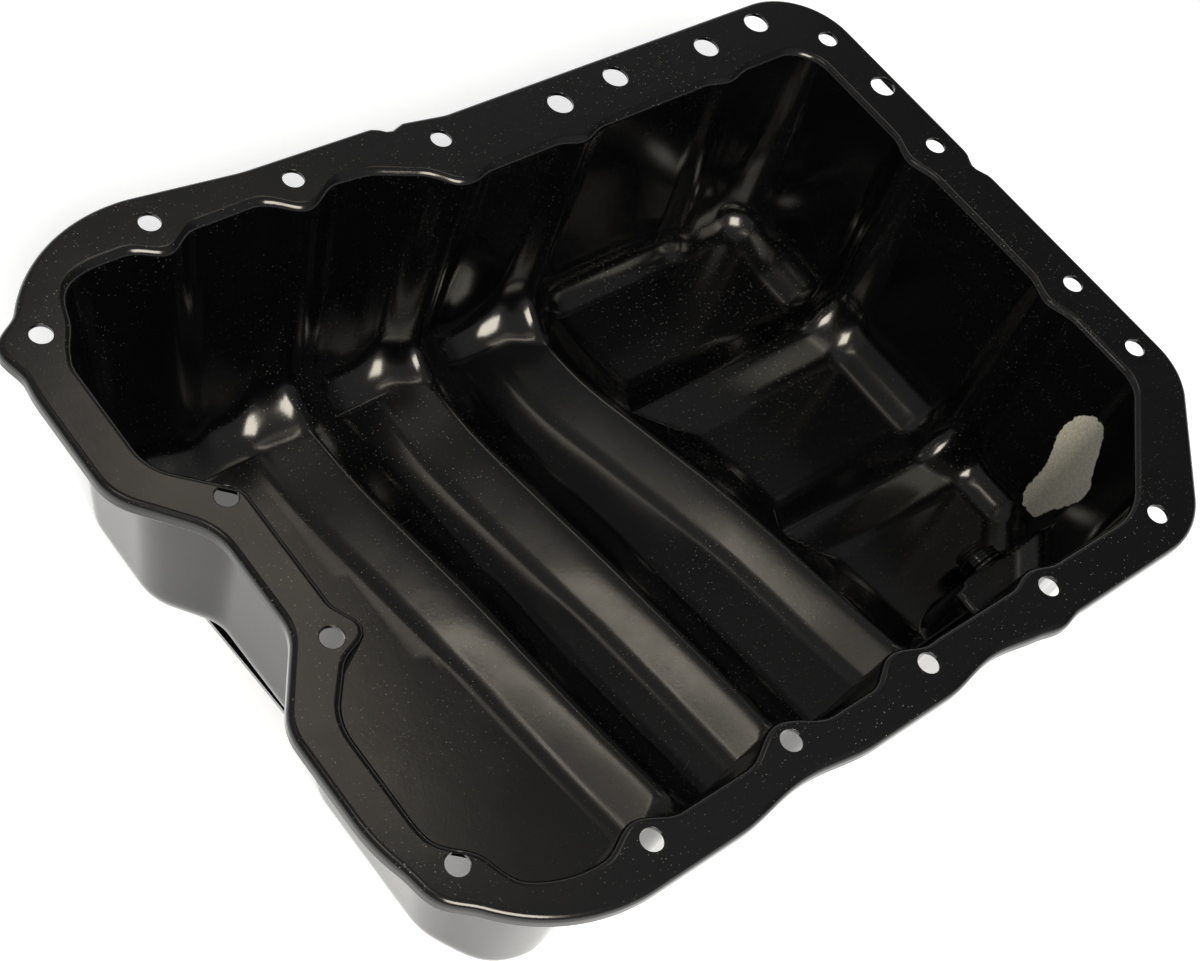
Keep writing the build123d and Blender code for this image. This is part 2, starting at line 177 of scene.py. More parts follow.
# Crest lines of the three channels, as x at each y from the front wall to the back wall
CREST_Y = [-122, -88, -62, -33, -4, 26, 55, 84, 112]
CREST_X = [
    [-48.0, -49.5, -53.0, -56.4, -59.4, -63.4, -67.2, -68.7, -68.7],
    [-1.5, -2.4, -4.9, -8.3, -12.0, -16.6, -20.2, -20.0, -19.6],
    [60.5, 57.8, 53.2, 49.0, 43.4, 35.6, 28.6, 27.5, 27.5],
]
# The two cross channels' crest lines, from the last channel to the right-hand wall
CROSS_Y = (34.3, -31.5)
# Edge of the grey stippled patch, as distance round the wall at mid depth and height
PATCH = [
    (55.4, -23.3), (51.4, -20.7), (47.3, -19.3), (43.3, -19.8), (38.9, -21.9), (34.6, -25.0),
    (30.8, -26.7), (27.3, -26.7), (25.4, -29.6), (25.8, -34.8), (29.9, -43.9), (35.4, -53.3),
    (38.0, -60.2), (40.3, -65.5), (45.7, -70.3), (51.4, -72.7), (54.0, -70.5), (55.2, -66.9),
    (55.3, -60.8), (54.9, -56.6), (55.8, -52.1), (57.1, -46.7), (59.3, -40.4), (59.6, -36.5),
    (59.4, -31.3), (57.7, -26.9),
]
# Value of the patch attribute well outside the patch
FAR_OUTSIDE = -20.0

# Spacing of the points round the wall and the flange, and steps of the grid on the floor
WALL_SPACING, RIM_SPACING = 2.1, 2.2
ROW_STEP, COLUMN_STEP, LEDGE_ROW_STEP, LEDGE_COLUMN_STEP = 2.8, 5.0, 0.5, 0.7
# Distances from a crest line at which the grid has points, and how far those rows reach
CREST_STEPS = [
    0, 0.5, 1, 1.6, 2.3, 3.2, 4.5, 6, 8, 10, 11.5, 12.6, 13.6, 14.6, 15.6, 16.8, 18.2, 20,
]
CROSS_REACH = 20.9
# The grid's ends, beyond the floor's edge
GRID_SIDE, GRID_FRONT, GRID_BACK = 156, -106, 100
# Width of the even bands along the flat's edges, and of the gap round the grid
RIM_SUPPORT, MOUTH_SUPPORT, FLOOR_MARGIN = 0.8, 0.8, 1.5
SAME_POINT = 1e-6


# Outlines

Arc = namedtuple("Arc", "start end centre radius half outward turn")


def rounded_corner(before, here, after, radius):
    """The arc that rounds a corner; outward points from its centre to the corner."""
    back = (before - here) / np.linalg.norm(before - here)
    ahead = (after - here) / np.linalg.norm(after - here)
    half = math.acos(back @ ahead) / 2
    reach = radius / math.tan(half)
    mid = (back + ahead) / np.linalg.norm(back + ahead)
    centre = here + mid * (radius / math.sin(half))
    start, end = here + back * reach, here + ahead * reach
    turn = 1 if np.cross(end - start, centre - start) > 0 else -1
    return Arc(start, end, centre, radius, math.pi / 2 - half, -mid, turn)


def corner_outline(corners, counts):
    """Points and inward directions of a rounded outline, with a number of points for each run."""
    n = len(corners)
    places = [np.array(corner[:2], float) for corner in corners]
    arcs = [
        rounded_corner(places[i - 1], places[i], places[(i + 1) % n], corners[i][2])
        for i in range(n)
    ]
    points, inward = [], []

    def on_arc(arc, angle):
        c, s = math.cos(angle * arc.turn), math.sin(angle * arc.turn)
        x, y = arc.outward
        spoke = np.array([x * c - y * s, x * s + y * c])
        points.append(arc.centre + spoke * arc.radius)
        inward.append(spoke * -arc.turn)

    for i, count in enumerate(counts):
        here, after = arcs[i], arcs[(i + 1) % n]
        straight = after.start - here.end
        length = np.linalg.norm(straight)
        ahead = straight / length
        leave = here.radius * here.half
        whole = leave + length + after.radius * after.half
        for k in range(count):
            run = whole * k / count
            if run < leave:
                on_arc(here, run / here.radius)
            elif run < leave + length:
                points.append(here.end + ahead * (run - leave))
                inward.append(np.array([-ahead[1], ahead[0]]))
            else:
                on_arc(after, (run - leave - length) / after.radius - after.half)
    return np.array(points), np.array(inward)


def counts_for(corners, spacing):
    """How many points each run between two corners gets."""
    n = len(corners)
    return [
        max(4, round(math.dist(corners[i][:2], corners[(i + 1) % n][:2]) / spacing))
        for i in range(n)
    ]


def hump(points, inward, middle, depth, half):
    """How far a hump pushes each point inwards."""
    offset = points - np.array(middle)
    along = np.abs(offset[:, 0] * inward[:, 1] - offset[:, 1] * inward[:, 0])
    away = np.abs((offset * inward).sum(1))
    inside = (along < half) & (away < half + BEND)
    return np.where(inside, depth * np.cos(math.pi / 2 * along / half) ** 2, 0.0)


WALL_COUNTS = counts_for([mouth for mouth, _ in WALL_CORNERS], WALL_SPACING)
# Closer points on the two runs beside the front right corner, where the patch and the ledge are
for run in (0, -1):
    WALL_COUNTS[run] *= 2
RIM_COUNTS = counts_for(RIM_CORNERS, RIM_SPACING)


def wall_outline(share):
    """Points and inward directions of the wall's outline at a share of the depth."""
    corners = [[a + (b - a) * share for a, b in zip(top, low)] for top, low in WALL_CORNERS]
    points, inward = corner_outline(corners, WALL_COUNTS)
    push = np.zeros(len(points))
    for top, deep, half, low, foot in SCALLOPS:
        here = [a + (b - a) * share for a, b in zip(top, low)]
        push += hump(points, inward, here, deep + (foot - deep) * share, half)
    return points + inward * push[:, None], inward


def rim_outline(inset):
    """Points of the flange's outline, moved inwards."""
    points, inward = corner_outline(RIM_CORNERS, RIM_COUNTS)
    push = np.full(len(points), float(inset))
    for wave in RIM_WAVES:
        push += hump(points, inward, *wave)
    return points + inward * push[:, None]


def inside_of(ring, x, y, margin=0.0):
    """Which points lie inside a ring of points, and further from it than a margin."""
    hit = np.zeros(len(x), bool)
    for (x0, y0), (x1, y1) in zip(ring, np.roll(ring, -1, 0)):
        if y0 == y1:
            continue
        cross = (y0 > y) != (y1 > y)
        hit ^= cross & (x < (x1 - x0) * (y - y0) / (y1 - y0) + x0)
    if margin:
        nearest = np.full(len(x), np.inf)
        for x0, y0 in ring[::2]:
            nearest = np.minimum(nearest, (x - x0) ** 2 + (y - y0) ** 2)
        hit &= nearest > margin * margin
    return hit


# Height of the floor

def smooth_max(a, b, k):
    """The larger of two heights, blended over k where they cross above the floor."""
    never_zero = 1e-6
    k = np.minimum(k, a + b + never_zero)
    return np.maximum(a, b) + np.maximum(k - np.abs(a - b), 0) ** 2 / (4 * k)


def step_up(t):
    """A smooth step from 0 to 1."""
    t = np.clip(t, 0, 1)
    return t**3 * (t * (6 * t - 15) + 10)


def spline(xs, ys):
    """A smooth curve through points, as a function."""
    xs, ys = np.array(xs, float), np.array(ys, float)
    slope = np.gradient(ys, xs)

    def at(x):
        i = np.clip(np.searchsorted(xs, x) - 1, 0, len(xs) - 2)
        h = xs[i + 1] - xs[i]
        t = np.clip((x - xs[i]) / h, 0, 1)
        return (
            (2 * t**3 - 3 * t**2 + 1) * ys[i]
            + (t**3 - 2 * t**2 + t) * h * slope[i]
            + (3 * t**2 - 2 * t**3) * ys[i + 1]
            + (t**3 - t**2) * h * slope[i + 1]
        )

    return at


CRESTS = [spline(CREST_Y, xs) for xs in CREST_X]


def ridge(d, top, slope):
    """Height of a channel at a distance from its crest line."""
    h = top + slope * CREST_ROUND - slope * np.sqrt(d * d + CREST_ROUND * CREST_ROUND)
    return np.maximum(h, 0) + np.maximum(FOOT_ROUND - np.abs(h), 0) ** 2 / (4 * FOOT_ROUND)


def ledge_height(x, y):
    """Height of the drain ledge, in the front right corner."""
    side, face = (x - LEDGE_LEFT) * LEDGE_LEAN, LEDGE_FACE - y
    corner = np.hypot(np.maximum(LEDGE_ROUND - side, 0), np.maximum(LEDGE_ROUND - face, 0))
    within = np.minimum(np.minimum(side, face), LEDGE_ROUND - corner)
    return LEDGE_RISE * step_up(within / LEDGE_SOFT + 0.5)


def floor_lift(x, y):
    """How far the floor is pressed up at each point."""
    x, y = np.asarray(x, float), np.asarray(y, float)
    lift = np.zeros_like(x)
    slope = SLOPE - (SLOPE - BACK_SLOPE) * step_up((y - SLOPE_FROM) / SLOPE_OVER)
    for crest in CRESTS:
        slant = (crest(y + 1) - crest(y - 1)) / 2
        d = (x - crest(y)) / np.sqrt(1 + slant**2)
        lift = smooth_max(lift, ridge(d, CREST, slope), VALLEY_ROUND)
    bay = x > CRESTS[-1](y)
    for row in CROSS_Y:
        side = np.where(bay, ridge(y - row, CROSS_CREST, CROSS_SLOPE), 0.0)
        lift = smooth_max(lift, side, VALLEY_ROUND)
    return np.maximum(lift, ledge_height(x, y))


def lift_normal(x, y):
    """The floor's upward normal."""
    e = 0.05
    gx = (floor_lift(x + e, y) - floor_lift(x - e, y)) / (2 * e)
    gy = (floor_lift(x, y + e) - floor_lift(x, y - e)) / (2 * e)
    n = np.stack([-gx, -gy, np.ones_like(gx)], 1)
    return n / np.linalg.norm(n, axis=1)[:, None]


# The pressing, as points with their normals, and its faces: first what faces up and in

points, normals, faces = [], [], []


def add(p, n):
    """Add points with their normals; gives the number of the first."""
    start = sum(len(a) for a in points)
    points.append(np.asarray(p, float))
    normals.append(np.asarray(n, float))
    return start


def add_band(rings, ring_normals, flip=False):
    """Add closed rings joined by quads; gives the number of each ring's first point."""
    first = [add(p, n) for p, n in zip(rings, ring_normals)]
    count = len(rings[0])
    for a, b in zip(first, first[1:]):
        if flip:
            a, b = b, a
        for i in range(count):
            j = (i + 1) % count
            faces.append((a + i, a + j, b + j, b + i))
    return first


def grid_normals(rows):
    """Normals of a closed band of rings, each ring an array of points."""
    g = np.stack(rows)
    along = np.roll(g, -1, 1) - np.roll(g, 1, 1)
    down = np.gradient(g, axis=0)
    n = np.cross(along, down)
    return n / np.linalg.norm(n, axis=2)[:, :, None]


def triangulate(rings, inner, kind):
    """Points and triangles of a flat area with closed rings as edges and points within."""
    edges, offset = [], 0
    for ring in rings:
        edges += [(offset + i, offset + (i + 1) % len(ring)) for i in range(len(ring))]
        offset += len(ring)
    spots = [Vector(p) for p in np.concatenate([*rings, *inner])]
    out = delaunay_2d_cdt(spots, edges, [], kind, SAME_POINT, True)
    return np.array([v[:] for v in out[0]]), np.array(out[2])


# Wall, from the start of the mouth bend down to the end of the floor bend: one fibre for each
# point of its outline

OUTLINES = [wall_outline(share) for share in np.linspace(0, 1, DEPTHS)]
PLACES = np.stack([outline[0] for outline in OUTLINES])
INWARD = np.stack([outline[1] for outline in OUTLINES])
N = PLACES.shape[1]


def wall_at(depth, inset):
    """Points of the wall's outline at a depth for each fibre, moved inwards."""
    s = np.clip(np.asarray(depth) / DEPTH, 0, 1) * (DEPTHS - 1)
    s = np.broadcast_to(s, (N,))
    i = np.minimum(s.astype(int), DEPTHS - 2)
    t = (s - i)[:, None]
    k = np.arange(N)
    p = PLACES[i, k] * (1 - t) + PLACES[i + 1, k] * t
    v = INWARD[i, k] * (1 - t) + INWARD[i + 1, k] * t
    v /= np.linalg.norm(v, axis=1)[:, None]
    return p + v * np.broadcast_to(inset, (N,))[:, None]


rows = []
for step in range(MOUTH_STEPS + 1):
    turn = math.pi / 2 * step / MOUTH_STEPS
    drop = TIGHT_MOUTH * (1 - math.cos(turn))
    p = wall_at(drop, TIGHT_MOUTH * math.sin(turn) - MOUTH)
    rows.append(np.column_stack([p, np.full(N, -drop)]))

foot_x, foot_y = wall_at(FOOT_DEPTH, FOOT_INSET).T
rise = floor_lift(foot_x, foot_y)
right = step_up((foot_y - WIDE_FRONT) / WIDE_FADE) * step_up((WIDE_BACK - foot_y) / WIDE_FADE)
wide = np.where(foot_x > WIDE_X, right, 0.0)
for middle in WIDE_ENDS:
    end = step_up(1 - np.abs(foot_x - middle) / WIDE_END_HALF)
    wide = np.maximum(wide, np.where(foot_y > WIDE_END_Y, end, 0.0))
bend = BEND + WIDER * wide

foot = DEPTH - bend - rise
for step in range(1, WALL_ROWS + 1):
    depth = TIGHT_MOUTH + (foot - TIGHT_MOUTH) * step / WALL_ROWS
    p = wall_at(depth, (TIGHT_MOUTH - MOUTH) * (1 - step / WALL_ROWS) ** 1.5)
    rows.append(np.column_stack([p, -depth]))
for step in range(1, BEND_STEPS + 1):
    turn = math.pi / 2 * step / BEND_STEPS
    above = bend * (1 - math.sin(turn))
    p = wall_at(DEPTH - rise - above, bend * (1 - math.cos(turn)))
    blend = math.sin(turn) ** 2
    level = -DEPTH + above + rise * (1 - blend) + floor_lift(p[:, 0], p[:, 1]) * blend
    rows.append(np.column_stack([p, level]))
floor_ring = rows[-1][:, :2]
band = grid_normals(rows)
band[0] = (0, 0, 1)
band[-1] = lift_normal(*floor_ring.T)
starts = add_band(rows, band)

# Rolled edge of the flange, from its flat down to the sheared edge
rim_rows = []
for step in range(LIP_STEPS + 1):
    turn = math.pi / 2 * step / LIP_STEPS
    p = rim_outline(-LIP * math.sin(turn))
    rim_rows.append(np.column_stack([p, np.full(len(p), LIP * (math.cos(turn) - 1))]))
for level in LIP_LEVELS:
    p = rim_outline(-LIP)
    rim_rows.append(np.column_stack([p, np.full(len(p), level)]))
rim_band = -grid_normals(rim_rows)
rim_band[0] = (0, 0, 1)
add_band(rim_rows, rim_band, flip=True)

# Flat of the flange, triangulated between the rolled edge, the mouth and the holes
angles = np.arange(HOLE_SEGMENTS) * 2 * math.pi / HOLE_SEGMENTS
circle = np.column_stack([np.cos(angles), np.sin(angles)])
holes = [(x, y, SMALL_HOLE) for x, y in SMALL_BOLTS] + [(x, y, LARGE_HOLE) for x, y in LARGE_BOLTS]
flat_rim = rim_outline(0.0)
flat_mouth = rows[0][:, :2]
rings = [flat_rim, rim_outline(RIM_SUPPORT), wall_at(0.0, -MOUTH - MOUTH_SUPPORT), flat_mouth]
for x, y, radius in holes:
    for extra in (HOLE_ROUND, HOLE_COLLAR):
        rings.append(np.array([x, y]) + circle * (radius + extra))
flat, tris = triangulate(rings, [], 0)
start = add(np.column_stack([flat, np.zeros(len(flat))]), np.tile([0.0, 0, 1], (len(flat), 1)))
x_mid, y_mid = flat[tris].mean(1).T
keep = inside_of(flat_rim, x_mid, y_mid) & ~inside_of(flat_mouth, x_mid, y_mid)
for x, y, radius in holes:
    hole = radius + HOLE_ROUND * 0.98
    keep &= (x_mid - x) ** 2 + (y_mid - y) ** 2 > hole**2
faces += [tuple(int(i) + start for i in t) for t in tris[keep]]


def floor_grid():
    """Points of a grid over the floor that follows the crests and the ledge's edges."""
    row_y = list(np.arange(GRID_FRONT, GRID_BACK, ROW_STEP))
    for row in CROSS_Y:
        row_y = [y for y in row_y if abs(y - row) > CROSS_REACH]
        row_y += [row + s * o for o in CREST_STEPS for s in (-1, 1) if o or s > 0]
    row_y += list(np.arange(LEDGE_FACE - 3, LEDGE_FACE + 3.1, LEDGE_ROW_STEP))
    spots = []
    for y in sorted(row_y):
        crests = [float(crest(y)) for crest in CRESTS]
        between = [(a + b) / 2 for a, b in zip(crests, crests[1:])]
        xs = set(between)
        for crest, left, right in zip(crests, [-GRID_SIDE] + between, between + [GRID_SIDE]):
            near = [crest + s * o for o in CREST_STEPS for s in (-1, 1)]
            xs |= {round(x, 4) for x in near if left < x < right}
        # Even columns outside the first and the last crest's own points
        xs |= set(np.arange(-GRID_SIDE, crests[0] - 22, COLUMN_STEP))
        xs |= set(np.arange(crests[-1] + 23, GRID_SIDE, COLUMN_STEP))
        # Closer points on the ledge's left end and under the lump
        if y < LEDGE_FACE + 3.2:
            xs |= {round(LEDGE_LEFT + t, 4) for t in np.arange(-6, 20, LEDGE_COLUMN_STEP)}
            xs |= {round(LUMP[0] + t, 4) for t in np.arange(-3, 3.1, LEDGE_ROW_STEP)}
        spots += [(x, y) for x in sorted(xs)]
    return np.array(spots)


grid = floor_grid()
grid = grid[inside_of(floor_ring, *grid.T, margin=FLOOR_MARGIN)]
plan, tris = triangulate([floor_ring], [grid], 1)
floor_up = lift_normal(*plan.T)
floor_points = np.column_stack([plan, -DEPTH + floor_lift(*plan.T)])
away = (floor_points - LUMP) / LUMP_SIZE
swell = np.maximum(1 - (away**2).sum(1), 0)
floor_points += LUMP_WAY * (LUMP_HEIGHT * swell**2)[:, None]
floor_up += away * (4 * LUMP_HEIGHT / LUMP_SIZE * swell)[:, None]
floor_up /= np.linalg.norm(floor_up, axis=1)[:, None]
start = add(floor_points, floor_up)
faces += [tuple(int(i) + start for i in t) for t in tris]

# The underside is the same sheet, one thickness further out
top, up = np.concatenate(points), np.concatenate(normals)
add(top - up * SHEET, -up)
faces += [tuple(len(top) + i for i in reversed(f)) for f in faces]

# Sheared lower edge of the roll, between the two skins
out = rim_band[-1]
centre = rim_rows[-1] - out * SHEET / 2
cut_points, cut_normals = [], []
for step in range(CUT_STEPS + 1):
    a = math.pi * step / CUT_STEPS
    bulge = np.array([0, 0, -CUT_BULGE]) * math.sin(a)
    cut_points.append(centre + out * (SHEET / 2 * math.cos(a)) + bulge)
    n = out * math.cos(a) + np.array([0, 0, -CUT_LEAN]) * math.sin(a)
    cut_normals.append(n / np.linalg.norm(n, axis=1)[:, None])
add_band(cut_points, cut_normals, flip=True)

# Hole walls, with the small rounding that paint gives a punched edge: how far each ring lies
# outside the hole's radius, its height, and the quarter turns of its normal from straight up
HOLE_RINGS = [
    (HOLE_ROUND, 0.0, 0.0), (0.12, -0.1, 0.7), (0.0, -HOLE_ROUND, 1.0),
    (0.0, -SHEET + HOLE_ROUND, 1.0), (0.12, -SHEET + 0.1, 1.3), (HOLE_ROUND, -SHEET, 2.0),
]
for x, y, radius in holes:
    hole_points, hole_normals = [], []
    for extra, level, tilt in HOLE_RINGS:
        ring = np.array([x, y]) + circle * (radius + extra)
        hole_points.append(np.column_stack([ring, np.full(HOLE_SEGMENTS, level)]))
        flat_part = math.sin(math.pi / 2 * min(tilt, 2 - tilt))
        upward = np.full(HOLE_SEGMENTS, math.cos(math.pi / 2 * tilt))
        hole_normals.append(np.column_stack([-circle * flat_part, upward]))
    add_band(hole_points, hole_normals)


def new_object(name, verts, polygons):
    """An object with smooth faces in the row's frame, from points in millimetres."""
    mesh = bpy.data.meshes.new(name)
    mesh.from_pydata(((np.array(verts) + SHIFT) / 1000).tolist(), [], polygons)
    mesh.update()
    for poly in mesh.polygons:
        poly.use_smooth = True
    obj = bpy.data.objects.new(name, mesh)
    bpy.context.scene.collection.objects.link(obj)
    return obj


body = new_object("pan_body_pressing", np.concatenate(points), faces)
body.data.normals_split_custom_set_from_vertices(
    [Vector(n).normalized() for n in np.concatenate(normals)]
)
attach(body, "root")
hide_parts("pan_body")


# Where the grey stippled patch is: how far each point of the wall lies inside its edge

def patch_depth(run, z):
    """How far each point lies inside the patch's edge; outside it is negative."""
    ring = np.array(PATCH, float)
    least = np.full(len(run), np.inf)
    for (x0, z0), (x1, z1) in zip(ring, np.roll(ring, -1, 0)):
        squared = (x1 - x0) ** 2 + (z1 - z0) ** 2
        t = np.clip(((run - x0) * (x1 - x0) + (z - z0) * (z1 - z0)) / squared, 0, 1)
        least = np.minimum(least, np.hypot(run - x0 - t * (x1 - x0), z - z0 - t * (z1 - z0)))
    return np.where(inside_of(ring, run, z), least, -least)


steps_round = np.linalg.norm(np.diff(PLACES[DEPTHS // 2], axis=0), axis=1)
wall_run = np.concatenate([[0], np.cumsum(steps_round)])
field = np.full(len(body.data.vertices), FAR_OUTSIDE)
for start, row in zip(starts, rows):
    field[start : start + N] = np.maximum(patch_depth(wall_run, row[:, 2]), FAR_OUTSIDE)
layer = body.data.attributes.new("patch", "FLOAT", "POINT")
layer.data.foreach_set("value", field)


# Nut, washer and plug, turned round the drain axis

def turned(name, rows, segments, close=False):
    """A turned surface: rows of height from the ledge's face, and a radius or one by angle."""
    angles = np.arange(segments) * 2 * math.pi / segments
    verts, quads = [], []
    for height, radius in rows:
        r = radius(angles) if callable(radius) else np.full(segments, float(radius))
        verts += [
            (DRAIN_X + a * math.cos(t), LEDGE_FACE + height, DRAIN_Z + a * math.sin(t))
            for a, t in zip(r, angles)
        ]
    for k in range(len(rows) if close else len(rows) - 1):
        a, b = k * segments, (k + 1) % len(rows) * segments
        for i in range(segments):
            j = (i + 1) % segments
            quads.append((a + i, b + i, b + j, a + j))
    obj = new_object(name, verts, quads)
    obj.data.set_sharp_from_angle(angle=SHARP_ANGLE)
    return obj


def hexagon(limit):
    """Radius by angle of a hexagon cut off by a circle."""
    def radius(angles):
        turn = (angles + math.pi / 6) % (math.pi / 3) - math.pi / 6
        return np.minimum(HEAD_HALF / np.cos(turn), limit)

    return radius


def thread(height, limit):
    """Radius by angle of a thread at a height, cut off by a circle."""
    def radius(angles):
        place = (height / THREAD_PITCH - angles / (2 * math.pi)) % 1
        flank = np.minimum(THREAD_STEEP * np.abs(place - 0.5), 1)
        return np.minimum(THREAD_ROOT + THREAD_HEIGHT * flank, limit)

    return radius


# Nut: a wide foot, then three rounded rings up to a chamfered mouth
profile = [(0.0, 6.3), (0.0, 7.9), (0.15, 8.0), (1.15, 8.0), (1.35, 7.85), (1.5, 7.3)]
for ring in NUT_RINGS:
    for k in range(RING_STEPS + 1):
        t = math.pi * k / RING_STEPS
        along = ring + RING_HALF * (1 - math.cos(t))
        profile.append((along, RING_FOOT + RING_SWELL * math.sin(t)))
profile += [(5.25, 7.1), (5.45, 6.95), (5.5, 6.7), (5.5, 6.5), (5.3, 6.3), (0.5, 6.15)]
nut = turned("drain_nut_turned", profile, TURNED_SEGMENTS, close=True)

# Washer: a flat ring with softened corners
seat = -SHEET - WASHER
profile = [(0.0, 6.4), (0.0, 8.7), (0.08, 8.92), (0.3, 9.0), (1.7, 9.0), (1.92, 8.92), (2.0, 8.7)]
profile += [(2.0, 6.4), (1.8, 6.2), (0.2, 6.2)]
profile = [(seat + h, r) for h, r in profile]
washer = turned("plug_washer_ring", profile, TURNED_SEGMENTS, close=True)

# Plug: hexagon head with chamfered corners, collar, and a cut thread with a chamfered end
profile = [(-9.0, 0.01), (-9.0, 6.2), (-8.95, 6.55), (-8.7, hexagon(7.1)), (-8.3, hexagon(7.75))]
profile += [(-8.0, hexagon(8.1)), (-2.2, hexagon(8.1)), (-2.0, 7.6), (-2.0, 8.3), (-1.85, 8.5)]
profile += [(-0.2, 8.5), (0.0, 8.35), (0.0, 6.0), (0.15, 5.4)]
tip = SHEET + WASHER + PAST_LEDGE
for height in np.arange(0.3, tip - 0.01, THREAD_STEP):
    lead = max(0.0, height - (tip - THREAD_LEAD))
    profile.append((height, thread(height, THREAD_RADIUS - lead)))
profile += [(tip, 4.75), (tip, 4.4), (tip - 0.3, 4.0), (tip - 0.35, 0.01)]
plug = turned("drain_plug_threaded", [(seat + h, r) for h, r in profile], PLUG_SEGMENTS)

for piece, node, slot in (
    (nut, "drain_nut", "black_paint"),
    (washer, "plug_washer", "washer_alloy"),
    (plug, "drain_plug", "black_oxide"),
):
    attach(piece, "root")
    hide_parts(node)


# Materials

class Graph:
    """The nodes of a material or a world, and shorthands for the kinds used here."""

    def __init__(self, tree):
        self.nodes, self.links = tree.nodes, tree.links
        self.coords = self.nodes.new("ShaderNodeTexCoord").outputs

    def put(self, value, socket):
        """Link an output to a socket, or write a plain value there."""
        if isinstance(value, bpy.types.NodeSocket):
            self.links.new(value, socket)
        else:
            socket.default_value = value

    def node(self, kind, **values):
        """A new node with some of its sockets filled."""
        node = self.nodes.new("ShaderNode" + kind)
        for key, value in values.items():
            self.put(value, node.inputs[key.replace("_", " ")])
        return node

    def noise(self, scale, detail, rough=0.5):
        """Noise fixed to the piece."""
        place = self.coords["Object"]
        node = self.node("TexNoise", Vector=place, Scale=scale, Detail=detail, Roughness=rough)
        return node.outputs["Fac"]

    def span(self, value, low, high, to_low=0.0, to_high=1.0):
        """A value's range mapped to another, clamped."""
        ends = {"From_Min": low, "From_Max": high, "To_Min": to_low, "To_Max": to_high}
        return self.node("MapRange", Value=value, **ends).outputs["Result"]

    def joined(self, operation, *values):
        """Values joined one after another by one kind of arithmetic."""
        total = values[0]
        for value in values[1:]:
            node = self.nodes.new("ShaderNodeMath")
            node.operation = operation
            self.put(total, node.inputs[0])
            self.put(value, node.inputs[1])
            total = node.outputs["Value"]
        return total

    def parts(self, vector):
        """The X, Y and Z of a vector."""
        return self.node("SeparateXYZ", Vector=vector).outputs

    def ramp(self, share, low, high):
        """A colour ramp between two colours."""
        node = self.node("ValToRGB", Fac=share)
        for stop, colour in zip(node.color_ramp.elements, (low, high)):
            stop.color = colour
        return node.outputs["Color"]

    def mixed(self, share, low, high):
        """A colour that goes from one to another by a share."""
        node = self.nodes.new("ShaderNodeMix")
        node.data_type = "RGBA"
        for value, index in ((share, 0), (low, 6), (high, 7)):
            self.put(value, node.inputs[index])
        return node.outputs[2]


def material(name):
    """A node material with its graph and its shader's inputs."""
    mat = bpy.data.materials.new(name)
    mat.use_nodes = True
    mat.node_tree.nodes.clear()
    graph = Graph(mat.node_tree)
    shader = graph.node("BsdfPrincipled")
    graph.node("OutputMaterial", Surface=shader.outputs["BSDF"])
    return mat, graph, shader.inputs


def black_enamel(name, rough_low, rough_high, specks):
    """Gloss black stoving paint: orange peel, uneven gloss and fine pale dust."""
    mat, graph, shader = material(name)
    # Dust in specks, some of them paler, in loose clouds and mostly on what faces up
    dust = graph.node("TexVoronoi", Vector=graph.coords["Object"], Scale=900).outputs
    dot = graph.span(dust["Distance"], 0.10, 0.20, 1.0, 0.0)
    picked = graph.span(graph.parts(dust["Color"])["X"], 0.4, 1.0)
    cloud = graph.span(graph.noise(14, 3), 0.36, 0.60)
    facing = graph.node("NewGeometry").outputs["Normal"]
    level = graph.span(graph.parts(facing)["Z"], -0.1, 0.7, 0.15, 1.0)
    dots = graph.joined("MULTIPLY", dot, picked, cloud, level, specks)
    colour = graph.ramp(dots, (0.0012, 0.0012, 0.0016, 1), (0.20, 0.19, 0.165, 1))
    graph.put(colour, shader["Base Color"])
    gloss = graph.span(graph.noise(22, 4, 0.6), 0.3, 0.7, rough_low, rough_high)
    graph.put(gloss, shader["Roughness"])
    # Orange peel: a fine bump under a wide one
    fine = graph.node("Bump", Strength=0.10, Distance=0.0001, Height=graph.noise(900, 3))
    wide = graph.node("Bump", Strength=0.25, Distance=0.0002, Height=graph.noise(60, 2))
    graph.put(fine.outputs["Normal"], wide.inputs["Normal"])
    graph.put(wide.outputs["Normal"], shader["Normal"])
    return mat, graph, shader


def add_patch(graph, shader):
    """Lay the grey stippled patch, with a dull black fringe round its ragged edge, on a paint."""
    where = graph.node("Attribute")
    where.attribute_name = "patch"
    edge = graph.joined("MULTIPLY", graph.noise(420, 4, 0.7), 3.0)
    ragged = graph.joined("ADD", edge, where.outputs["Fac"])
    inner = graph.span(ragged, 1.75, 1.95)
    fringe = graph.span(ragged, 0.5, 1.75)
    grain = graph.span(graph.noise(1500, 3, 0.7), 0.3, 0.7)
    stipple = graph.ramp(grain, (0.34, 0.33, 0.29, 1), (0.74, 0.72, 0.63, 1))
    black = shader["Base Color"].links[0].from_socket
    dull = graph.mixed(fringe, black, (0.004, 0.004, 0.004, 1))
    graph.put(graph.mixed(inner, dull, stipple), shader["Base Color"])
    gloss = shader["Roughness"].links[0].from_socket
    matt = graph.joined("MULTIPLY", inner, 0.4)
    graph.put(graph.joined("ADD", gloss, matt), shader["Roughness"])


def metal(name, metallic, tone, low, high, grain, rough_low, rough_high):
    """Plain metal with uneven tone and gloss, each from noise of a scale and a detail."""
    mat, graph, shader = material(name)
    graph.put(metallic, shader["Metallic"])
    graph.put(graph.ramp(graph.noise(*tone), low, high), shader["Base Color"])
    gloss = graph.span(graph.noise(*grain), 0.3, 0.7, rough_low, rough_high)
    graph.put(gloss, shader["Roughness"])
    return mat


